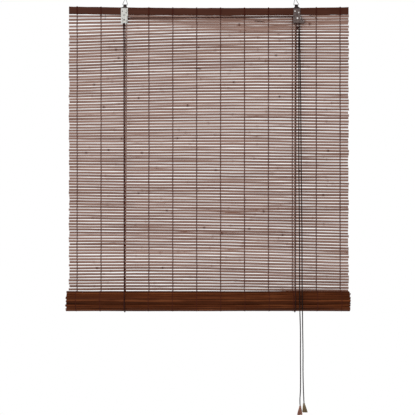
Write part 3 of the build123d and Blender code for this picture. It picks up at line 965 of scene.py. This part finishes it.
for index, place in enumerate(np.arange(0, along[-1], rollLook["pitch"])):
    y, z = spiralAt(place)
    nearby = min(place + 0.5 * mm, along[-1])    # the strip lies along the spiral here
    stepY, stepZ = spiralAt(nearby) - spiralAt(nearby - 1.0 * mm)
    turn = np.arctan2(-stepY, stepZ)
    shape = rolledSlat(innerPlaces, innerLoop, rollLook["innerSections"], rollY + y, rollZ + z, turn,
                       rollLook["innerShort"], rollLook["innerWander"])
    rollStrips.append(copiedSlat(innerBlank, f"inner{index:02d}", *shape))
rollPiece = joined(rollStrips, "rolledSlats")
endFaces(rollPiece, (rollLow[0], rollHigh[0]), rollLook["endFrom"])
takePlace(rollPiece, "roll", "rolled_mat")
rollThreads = []
for x in warpX:
    for phase in (0, pi):
        steps = np.arange(rollLook["outerCount"] * warpLook["perSlat"]) / warpLook["perSlat"]
        turn = 2 * pi * (steps + 0.5) / rollLook["outerCount"]
        deep = slatLook["thick"] / 2 + rollLook["threadClear"]
        radius = rollLook["outerRadius"] + deep * np.cos(pi * steps + phase)
        across = x + warpLook["side"] * np.sin(pi * steps + phase)
        line = np.stack([across, rollY + radius * np.cos(turn), rollZ + radius * np.sin(turn)], axis=1)
        rollThreads.append(tubeParts(line, rollLook["thread"], warpLook["sides"], closed=True))
rollWarps = meshPiece("rollWarps", rollThreads, warpCotton)
takePlace(rollWarps, "roll")
print("roll made")

# Head rail: a split lath with worn edges, bowed along its length
railLook = {
    "bevel": 1.5 * mm, "bevelSteps": 3, "cuts": 60,
    "wear": 0.22 * mm, "wearPlaces": 60,
    "tone": 0.45, "toneSwing": 0.1, "toneWaves": 9,
}
railSize = (railHigh[0] - railLow[0], railHigh[1] - railLow[1], railHeight)
rail = addCube("headRail", (0, railY, 0), railSize)
bevelEdges(rail, lengthwise, railLook["bevel"], railLook["bevelSteps"])
cutAcross(rail, railLook["cuts"])
wearAt = np.linspace(railLow[0], railHigh[0], railLook["wearPlaces"])
wearTop = rng.normal(0, railLook["wear"], railLook["wearPlaces"])
wearBottom = rng.normal(0, railLook["wear"], railLook["wearPlaces"])
for vertex in rail.data.vertices:
    x = vertex.co.x
    wander = np.interp(x, wearAt, wearTop if vertex.co.z > 0 else wearBottom)
    vertex.co.z += railLow[2] + railHeight / 2 + railLift(x) + wander
setMaterial(rail, railBamboo, cutBamboo)
swings = [np.sin(railLook["toneWaves"] * vertex.co.x) for vertex in rail.data.vertices]
addFloats(rail.data, "tone", [railLook["tone"] + railLook["toneSwing"] * swing for swing in swings])
addFloats(rail.data, "knuckle", [0.0] * len(swings))
endFaces(rail, (railLow[0], railHigh[0]), slatLook["endFrom"])
for polygon in rail.data.polygons:
    polygon.use_smooth = True
bpy.ops.object.shade_smooth_by_angle(angle=0.8)
takePlace(rail, "head", "head_rail")
print("head rail made")

# Knots: a small overhand knot is one closed twist of cord
knotLook = {
    "reach": 0.4, "thick": 0.24, "points": 60, "sides": 7,
    "threadStep": 1.0 * mm, "threadHalf": 0.55 * mm, "threadSides": 5,
}


def knotParts(centre, size):
    t = np.arange(knotLook["points"]) * 2 * pi / knotLook["points"]
    shape = [np.sin(t) + 2 * np.sin(2 * t), -np.sin(3 * t), np.cos(t) - 2 * np.cos(2 * t)]
    line = np.array(centre) + np.stack(shape, axis=1) / 3 * np.array(size) * knotLook["reach"]
    return tubeParts(line, min(size) * knotLook["thick"], knotLook["sides"], closed=True)


for side in ("left", "right"):
    low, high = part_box(f"cord_knot_{side}")
    middle = [(a + b) / 2 for a, b in zip(low, high)]
    size = [b - a for a, b in zip(low, high)]
    knot = meshPiece(f"cordKnot{side.title()}", [knotParts(middle, size)], liftBraid)
    takePlace(knot, "head", f"cord_knot_{side}")

# The cords' other knots, the wrap under the left bracket, and loose ends of thread and bamboo
smallKnots = [    # each one's place and size, in mm
    ((-267.5, 5.0, -151.0), (7.5, 4.0, 8.0)),
    ((285.0, frontY, -94.5), (6.8, 4.6, 8.6)),
    ((281.0, frontY - 1.5, -144.5), (4.6, 4.0, 5.2)),
    ((280.8, frontY - 1.8, -154.5), (4.6, 4.0, 5.2)),
]
looseThreads = [
    [(281.5, frontY - 2.4, -156.0), (283.6, frontY - 3.4, -162.0), (289.0, frontY - 4.6, -165.5),
     (296.5, frontY - 5.0, -171.0)],
    [(-425.0, -1.9, -51.0), (-417.0, -2.2, -47.2), (-408.0, -2.0, -49.4), (-398.0, -2.0, -48.0)],
    [(-334.0, -1.8, -50.0), (-331.0, -2.6, -57.0), (-335.0, -2.2, -63.0), (-333.0, -2.0, -68.0)],
    [(320.0, -1.8, -50.5), (330.0, -2.2, -56.0), (341.0, -2.0, -59.5), (352.0, -2.0, -67.0)],
    [(-352.0, -1.8, -53.5), (-345.0, -2.4, -50.5), (-340.0, -2.0, -55.5)],
]
splinters = [    # start, end and thickness
    ((146.0, 0.6, -71.0), (178.0, 0.2, -73.5), 1.1),
    ((-44.0, 0.4, -224.0), (-24.0, 0.0, -226.5), 1.5),
]
wrapLook = {
    "x": -273.9, "z": -79.5, "drop": 17, "drift": 0.9, "reach": 1.9, "turns": 9,
    "points": 160, "thick": 0.95, "sides": 6,
}
knots = [knotParts(*metres(knot)) for knot in smallKnots]
wrapTurns = np.linspace(0, 2 * pi * wrapLook["turns"], wrapLook["points"])
wrapShare = wrapTurns / wrapTurns[-1]
wrap = [wrapLook["x"] + wrapLook["drift"] * wrapShare + wrapLook["reach"] * np.cos(wrapTurns),
        rearY + wrapLook["reach"] * np.sin(wrapTurns), wrapLook["z"] - wrapLook["drop"] * wrapShare]
knots.append(tubeParts(np.stack(wrap, axis=1) * mm, wrapLook["thick"] * mm, wrapLook["sides"]))
for points in looseThreads:
    line = routePoints(metres(points), knotLook["threadStep"])
    knots.append(tubeParts(line, knotLook["threadHalf"], knotLook["threadSides"]))
knotPiece = meshPiece("cordKnots", knots, liftBraid)
takePlace(knotPiece, "head")
splinterLook = {"step": 2 * mm, "tip": 0.25, "sides": 5}
slivers = []
for start, end, half in splinters:
    line = evenly(np.array(metres([start, end])), splinterLook["step"])
    taper = np.sin(np.linspace(splinterLook["tip"], pi - splinterLook["tip"], len(line))) * half * mm
    slivers.append(tubeParts(line, taper, splinterLook["sides"]))
sliverPiece = meshPiece("looseSplinters", slivers, railBamboo)
takePlace(sliverPiece, "head")

# Tassels: a bound neck of cut threads that fan out to a ragged end
tasselLook = {
    "left": {"material": tasselRed, "slot": "tassel_red", "fan": 8.2 * mm, "lean": (-1.5, 0.5)},
    "right": {"material": tasselOlive, "slot": "tassel_olive", "fan": 8.4 * mm, "lean": (3.2, -0.5)},
    "threads": 70,
    "ragged": 2.2 * mm,
    "neck": 0.86,             # against the binding's radius
    "headEnd": 0.12,          # shares of the length, from the top
    "waistAt": 0.16,
    "fanFrom": 0.17,
    "angleWander": 0.15,
    "threadHalf": 0.42 * mm,
    "bindingHalf": 0.5 * mm,
    "bindingDrop": 1.2 * mm,
    "wave": 0.25 * mm,
    "goldenTurn": 2.39996,    # spreads the threads evenly
}
headEnd, waistAt, fanFrom = tasselLook["headEnd"], tasselLook["waistAt"], tasselLook["fanFrom"]
for side in ("left", "right"):
    facts = tasselLook[side]
    low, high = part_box(f"tassel_{side}")
    bindLow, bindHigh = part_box(f"tassel_binding_{side}")
    topX, topY, cordEnd = (float(part) for part in pullPieces[side, "lower"][1][-1])
    top = cordEnd + 0.1 * mm
    bottom = top - (high[2] - low[2])
    bindTop, bindHeight = top - tasselLook["bindingDrop"], bindHigh[2] - bindLow[2]
    neck = (bindHigh[0] - bindLow[0]) / 2 * tasselLook["neck"]
    parts = []
    for thread in range(tasselLook["threads"]):
        share = np.sqrt((thread + 0.5) / tasselLook["threads"])
        angle = thread * tasselLook["goldenTurn"] + rng.normal(0, tasselLook["angleWander"])
        reach = bottom + rng.uniform(0, 1) * tasselLook["ragged"]
        t = np.linspace(0, 1, 8)
        head = np.sqrt(np.clip(1 - (1 - t / headEnd) ** 2, 0, 1)) * (t < headEnd) + (t >= headEnd)
        waist = neck * (1.15 - 0.2 * np.exp(-((t - waistAt) / 0.06) ** 2)) * head
        spread = waist + (facts["fan"] - neck) * np.clip((t - fanFrom) / (1 - fanFrom), 0, 1) ** 0.85
        wave = rng.normal(0, tasselLook["wave"], (8, 2)) * t[:, None]
        x = topX + share * spread * cos(angle) + wave[:, 0] + facts["lean"][0] * mm * t ** 1.3
        y = topY + share * spread * sin(angle) + wave[:, 1] + facts["lean"][1] * mm * t ** 1.3
        z = top + (reach - top) * t
        parts.append(tubeParts(np.stack([x, y, z], axis=1), tasselLook["threadHalf"], 4))
    tassel = meshPiece(f"tassel{side.title()}", parts, facts["material"])
    takePlace(tassel, f"tassel_{side}", f"tassel_{side}")
    sweep = np.linspace(0, 8 * pi, 90)
    coil = np.stack([topX + neck * 1.1 * np.cos(sweep), topY + neck * 1.1 * np.sin(sweep),
                     bindTop - bindHeight * sweep / sweep[-1]], axis=1)
    binding = meshPiece(f"tasselBinding{side.title()}", [tubeParts(coil, tasselLook["bindingHalf"], 6)],
                        facts["material"])
    takePlace(binding, f"tassel_{side}", f"tassel_binding_{side}")
print("tassels made")

# Carried-over nodes take their finishes
nodeFinish = {
    zincWire: ("wire_hanger_left", "wire_hanger_right"),
    zincPlate: ("bracket_left",),
    lockSteel: ("bracket_right",),
    nailSteel: ("bracket_nails", "cord_nail_left", "cord_nail_right", "pulley_axle_left",
                "pulley_axle_right"),
    pulleySteel: ("pulley_left", "pulley_right_rear", "pulley_right_front", "lock_roller"),
    railBamboo: ("bottom_rail",),
}
for material, nodes in nodeFinish.items():
    for node in nodes:
        setMaterial(bpy.data.objects[node], material)

# The soft pieces each get a mesh of their own. Each lift cord: its held place in mm, and what is left
liftKeep = {"left": (-70, 0.0899), "right": (-66, 0.0939)}


def drawUp(piece):
    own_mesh(piece)


for piece in matPieces + warpPieces + [knotPiece, sliverPiece]:
    drawUp(piece)
for side, (heldZ, keep) in liftKeep.items():
    drawUp(liftPieces[side, "front"])
for side in ("left", "right"):
    drawUp(liftPieces[side, "back"])
    upper, upperLine = pullPieces[side, "upper"]
    lower, lowerLine = pullPieces[side, "lower"]
    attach(upper, "head")
    drawUp(upper)
    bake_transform(lower)

for blank in (matBlank, outerBlank, innerBlank):
    bpy.data.objects.remove(blank)

# Floor, light and surroundings
stageLook = {
    "floorZ": cadLow[2] - 1.90,    # under the tassels when the blind is up
    "floorRadius": 0.55,
    "world": 0.75,
    "key": 42.0, "keyPlace": (-1.35, -2.9, 0.3), "keyAim": (0, 0, -0.6), "keySize": 1.6,
}
bpy.ops.mesh.primitive_circle_add(vertices=96, radius=stageLook["floorRadius"], fill_type="NGON",
                                  location=(0, 0, stageLook["floorZ"]))
floor = bpy.context.object
floor.name = "floorDisc"
floorPaint, floorTree, floorShader = newMaterial("palePlaster", 0.9)
speckle = objectNoise(floorTree, 40.0)
floorTree.links.new(ramp(floorTree, speckle, (0.3, (0.80, 0.79, 0.77)), (0.7, (0.88, 0.87, 0.85))),
                    floorShader.inputs["Base Color"])
setMaterial(floor, floorPaint)
floor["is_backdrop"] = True

# The surroundings light the blind less than they show behind it
world = bpy.data.worlds.new("studio")
bpy.context.scene.world = world
world.use_nodes = True
tree = world.node_tree
back, seen = tree.nodes["Background"], tree.nodes.new("ShaderNodeBackground")
for node, strength in ((back, stageLook["world"]), (seen, 1.0)):
    node.inputs["Color"].default_value = (1, 1, 1, 1)
    node.inputs["Strength"].default_value = strength
which = tree.nodes.new("ShaderNodeLightPath")
mix = tree.nodes.new("ShaderNodeMixShader")
tree.links.new(which.outputs["Is Camera Ray"], mix.inputs[0])
tree.links.new(back.outputs[0], mix.inputs[1])
tree.links.new(seen.outputs[0], mix.inputs[2])
tree.links.new(mix.outputs[0], tree.nodes["World Output"].inputs["Surface"])
bpy.context.scene.view_settings.view_transform = "Standard"
bpy.ops.object.light_add(type="AREA", location=stageLook["keyPlace"])
lamp = bpy.context.object
lamp.name = "frontBox"
lamp.data.shape = "SQUARE"
lamp.data.size = stageLook["keySize"]
lamp.data.energy = stageLook["key"]
aim = Vector(stageLook["keyAim"]) - Vector(stageLook["keyPlace"])
lamp.rotation_euler = aim.to_track_quat("-Z", "Y").to_euler()
print("stage set")

low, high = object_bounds()
